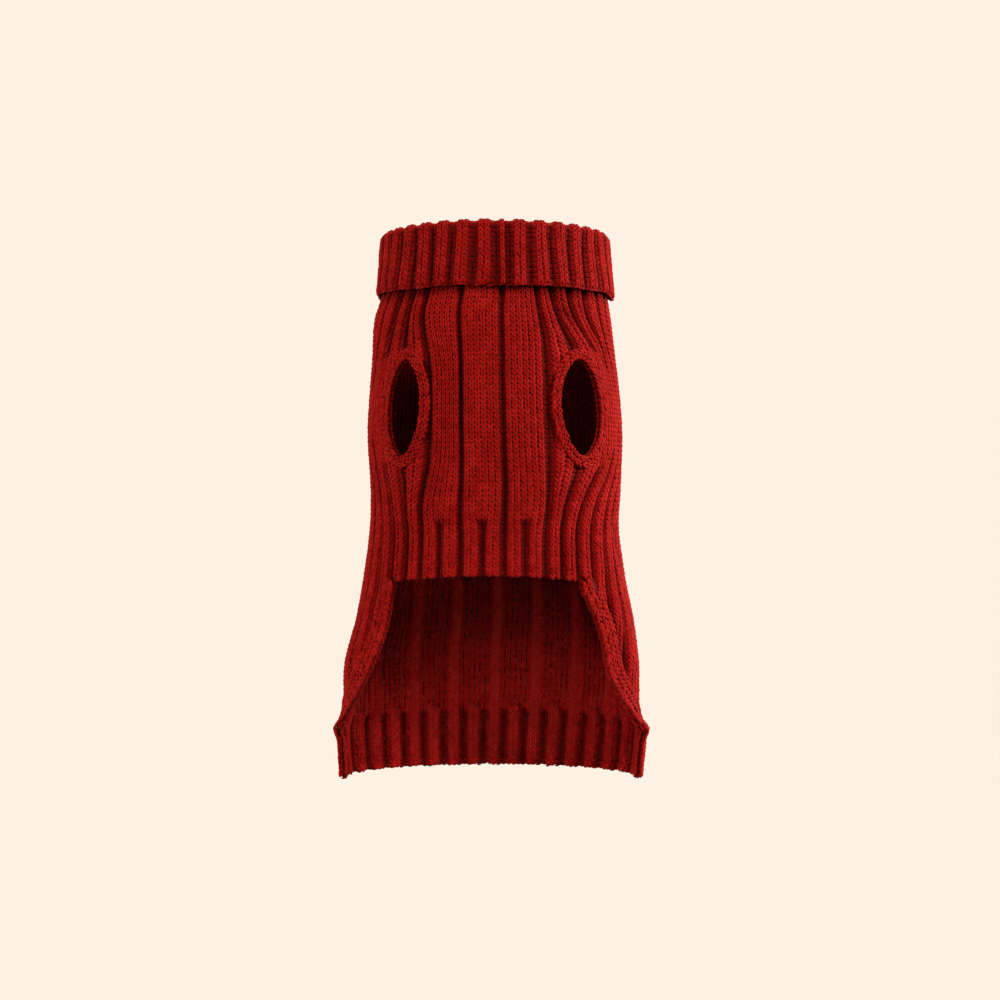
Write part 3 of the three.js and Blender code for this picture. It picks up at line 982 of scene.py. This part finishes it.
bandLook = {
    "wale": 3.8, "stitch": 3.7, "sideWale": 4.4, "sideStitch": 4.0,
    "halfCloth": 0.85, "broadCloth": 1.7,      # the cloth's edges, in wales from the middle
    "outer": -0.8, "inner": -2.2,              # its two faces
    "yarnLift": 0.1, "insideLift": -2.7,
    "pastSeam": 3.5,                           # how far a side band's middle lies in the opening
    "seeds": {"leg": (41, 43), "side": (51, 53)},
}
bandStitch = {"Leg Thickness": 1.15, "Leg Width": 0.27, "Lean": 0.36, "Unevenness": 0.12}


def bandYarns(kind, side, place, count, wales):
    seed, insideSeed = bandLook["seeds"][kind]
    name = kind + "Band"
    return [ribbonStitches(name + "Stitches" + side.capitalize(), place, count, wales,
                           bandLook["yarnLift"], seed, bandStitch),
            ribbonStitches(name + "Inside" + side.capitalize(), place, count, [-0.5, 0.5],
                           bandLook["insideLift"], insideSeed)]


def legBand(side):
    sign = sideSign[side]
    around = np.linspace(0, 2 * math.pi, 97)[:-1]
    grow = 0.5
    halfHeight = legHole["halfHeight"] + legHole["tipWidth"] * grow
    halfWidth = legHole["halfWidth"][side] + legHole["bandWidth"] * grow
    across = halfWidth * np.sign(np.cos(around)) * np.abs(np.cos(around)) ** (2 * legHole["roundness"])
    z = legHole["middle"] + halfHeight * np.sin(around)
    seam = seamTurn(side, z)
    turn = sign * seam + across / clothPerTurn(seam, z)
    line = lineOnForm(turn, z)
    normal = normalsOnForm(turn, z)
    along = np.roll(line, -1, axis=0) - np.roll(line, 1, axis=0)
    sideways = np.cross(along, normal)
    place, count = ribbonMaker(line, sideways, normal, bandLook["wale"], bandLook["stitch"], True)
    half = bandLook["halfCloth"]
    wall = ribbonWall("legBand" + side.capitalize(), place, count, (-half, half), True)
    return wall, bandYarns("leg", side, place, count, [-0.5, 0.5])


def sideBand(side):
    sign = sideSign[side]
    z = np.linspace(bodyForm["bellyCorner"] + 1.5, bodyForm["hemTop"] - 5, 60)
    seam = seamTurn(side, z)
    turn = sign * seam
    line = lineOnForm(turn, z)
    normal = normalsOnForm(turn, z)
    along = np.gradient(line, axis=0)
    sideways = np.cross(along, normal)
    sideways /= np.linalg.norm(sideways, axis=1, keepdims=True)
    towardOpening = 1 if np.mean(sideways[:, 0] * sign) < 0 else -1
    line = line + sideways * towardOpening * bandLook["pastSeam"]
    # three wales, the third over the panel's edge, with the cloth running on under it
    across = [-0.5, 0.5, 1.5] if towardOpening < 0 else [-1.5, -0.5, 0.5]
    half, broad = bandLook["halfCloth"], bandLook["broadCloth"]
    edges = (-half, broad) if towardOpening < 0 else (-broad, half)
    place, count = ribbonMaker(line, sideways, normal, bandLook["sideWale"], bandLook["sideStitch"], False)
    wall = ribbonWall("sideBand" + side.capitalize(), place, count, edges, False)
    return wall, bandYarns("side", side, place, count, across)


def hemEnd(side):
    z = np.linspace(bodyForm["hemTop"] + 3, bodyForm["hemEdge"] + 0.5, 20)
    turn = np.full(len(z), sideSign[side] * (hemFrom[side] + 0.06))
    normal = normalsOnForm(turn, z)
    line = lineOnForm(turn, z) - normal * 1.5
    across = np.cross(np.gradient(line, axis=0), normal)
    place, count = ribbonMaker(line, across, normal, 3.6, 3.6, False)
    return ribbonStitches("hemEnd" + side.capitalize(), place, count, [-0.5, 0.5],
                          bandLook["yarnLift"], 57, bandStitch)


bands = {}
for side in sideSign:
    bands["leg_band_" + side] = legBand(side)
    bands["side_band_" + side] = sideBand(side)
print("bands made")


# Cast-off chains along the collar's, belly's and hem's edges: stitches laid along a row
castOff = {"Leg Thickness": 1.0, "Leg Width": 0.3, "Lean": 0.3, "Unevenness": 0.12}


def edgeChain(name, formed, wales, row, across, lift, seed):
    def place(x, y, height):
        return formed(y, row + x * across, height)

    points = wales + 0.5
    return yarnStitches(name, np.zeros(len(points)), points, np.full(len(points), lift),
                        np.zeros(len(points), bool), place, trimYarn, seed, castOff)


def bodyEdge(name, node, row, across, lift, seed):
    wales = np.arange(chart["wales"])
    kind, _, _ = pieceOf(wales + 0.5, np.full(len(wales), row + (1.5 if across > 0 else 0.5)))
    return edgeChain(name, bodyPoint, wales[kind == node], row, across, lift, seed)


bellyRow = (bodyForm["bellyCorner"] - bodyForm["hemEdge"]) / knitting["rowHeight"] + 0.2
bellyChain = bodyEdge("bellyEdgeChain", "belly_rib", bellyRow, 1.1, -1.5, 61)
hemChains = [bodyEdge("hemEdgeChain", "hem_rib", 0.35, 1.2, -1.0, 62),
             bodyEdge("hemEdgeChainInside", "hem_rib", 0.55, 1.5, -2.9, 64),
             hemEnd("left"), hemEnd("right")]
collarEdge = edgeChain("collarEdgeChain", collarPoint, np.arange(len(collarLay["purl"])),
                       collarLay["rows"] - 0.1, 1.1, 0.3, 63)
print("edges finished")

# What each piece is cut to, in metres, and what it stands for
flatCuts = {
    "front_panel": {"flat": (0.145, 0.171), "area": 0.0215},
    "back_panel": {"flat": (0.395, 0.316), "area": 0.104},
    "belly_rib": {"flat": (0.150, 0.042), "area": 0.0060},
    "hem_rib": {"flat": (0.275, 0.041), "area": None},
    "collar": {"flat": (0.498, 0.080), "area": None, "held": "folded"},
    "leg_band": {"flat": (0.180, 0.010), "area": 0.00150},
    "side_band": {"flat": (0.130, 0.012), "area": 0.00150},
}
carried = {
    "front_panel": ["frontStitches", "frontStitchesInside"],
    "back_panel": [n + end for n in ("backStitchesLeft", "backStitchesRight", "backStitchesMiddle")
                   for end in ("", "Inside")],
    "belly_rib": ["bellyRibStitches", "bellyRibStitchesInside"],
    "hem_rib": ["hemStitches", "hemStitchesInside"],
}


def finishPiece(piece, node):
    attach(piece, "root")
    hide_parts(node)


walls = {**bodyCloth, "collar": collarCloth, **{node: made[0] for node, made in bands.items()}}
yarns = {node: [bodyYarns[name] for name in names] for node, names in carried.items()}
yarns["collar"] = [collarYarn, collarEdge]
yarns["belly_rib"].append(bellyChain)
yarns["hem_rib"] += hemChains
yarns.update({node: made[1] for node, made in bands.items()})
total = 0
for node, wall in walls.items():
    for piece in [wall, *yarns[node]]:
        finishPiece(piece, node)
        piece.data.calc_loop_triangles()
        total += len(piece.data.loop_triangles)
        print(node, piece.name, len(piece.data.loop_triangles))
    cut = flatCuts.get(node) or flatCuts[node.rsplit("_", 1)[0]]
    cut.get("held", "stretched")
print("triangles", total)

# Floor, lights and camera
studio = {"cream": (0.985, 0.882, 0.771), "glow": 0.99, "floorDrop": 0.45,
          "flat": 2.4, "curve": 1.2, "wall": 5.0, "sides": 96}


def makeStudio():
    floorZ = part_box("hem_rib")[0].z - studio["floorDrop"]
    flat, curve, sides = studio["flat"], studio["curve"], studio["sides"]
    profile = [(flat / 2, floorZ)]
    profile += [(flat + curve * math.sin(a), floorZ + curve * (1 - math.cos(a)))
                for a in np.linspace(0, math.pi / 2, 16)]
    profile.append((flat + curve, floorZ + studio["wall"]))
    turns = np.linspace(0, 2 * math.pi, sides + 1)[:-1]
    points = [(radius * math.cos(a), radius * math.sin(a), z) for radius, z in profile for a in turns]
    faces = [tuple(range(sides))]
    for k in range(len(profile) - 1):
        for j in range(sides):
            a, b = k * sides + j, k * sides + (j + 1) % sides
            faces.append((a, a + sides, b + sides, b))
    floor = newMesh("studioFloor", points, faces)
    shadeSmooth(floor)
    material = bpy.data.materials.new("paleFloor")
    material.use_nodes = True
    look = {"Base Color": (0.02, 0.018, 0.016, 1), "Roughness": 0.9, "Specular IOR Level": 0.0,
            "Emission Color": (*studio["cream"], 1), "Emission Strength": studio["glow"]}
    for key, value in look.items():
        material.node_tree.nodes["Principled BSDF"].inputs[key].default_value = value
    floor.data.materials.append(material)
    floor.visible_diffuse = False
    floor.visible_glossy = False
    floor.visible_shadow = False
    return floor


def addLight(name, place, aim, size, power, colour, spread):
    data = bpy.data.lights.new(name, "AREA")
    data.shape = "DISK"
    data.size = size
    data.energy = power
    data.color = colour
    data.spread = math.radians(spread)
    lamp = addObject(name, data)
    lamp.location = place
    direction = np.array(aim) - np.array(place)
    lamp.rotation_euler = Vector(direction).to_track_quat("-Z", "Y").to_euler()


makeStudio()
# each light's place, aim, size, power, colour and spread in degrees
lights = {
    "keyLight": ((1.0, -0.9, 0.75), (0, 0, -0.06), 0.45, 19, (1.0, 0.96, 0.93), 180),
    "fillLight": ((-0.8, -1.5, 0.3), (0, 0, -0.08), 1.0, 6.2, (1.0, 0.93, 0.9), 180),
    "leftLight": ((-1.3, -0.45, 0.15), (0, 0, -0.1), 0.7, 10.5, (1.0, 0.78, 0.7), 180),
    "lowLight": ((0.1, -1.1, -0.42), (0, 0.03, -0.215), 0.2, 0.057, (1.0, 0.85, 0.8), 17),
    "rimLight": ((1.25, 0.1, 0.25), (0.06, 0, -0.1), 0.6, 15, (0.95, 0.95, 1.0), 180),
}
for name, settings in lights.items():
    addLight(name, *settings)

world = bpy.data.worlds.new("studioAir")
bpy.context.scene.world = world
world.use_nodes = True
world.node_tree.nodes["Background"].inputs["Color"].default_value = (1.0, 0.93, 0.85, 1)
world.node_tree.nodes["Background"].inputs["Strength"].default_value = 0.18

cameraSet = {"distance": 1.008, "height": -0.0655, "across": 0.0036, "lens": 50.4}
cameraData = bpy.data.cameras.new("frontCamera")
cameraData.lens = cameraSet["lens"]
cameraData.sensor_width = 36
camera = addObject("frontCamera", cameraData)
camera.location = (cameraSet["across"], -cameraSet["distance"], cameraSet["height"])
camera.rotation_euler = (math.pi / 2, 0, 0)
bpy.context.scene.camera = camera
bpy.context.scene.view_settings.view_transform = "Standard"
print("studio set")
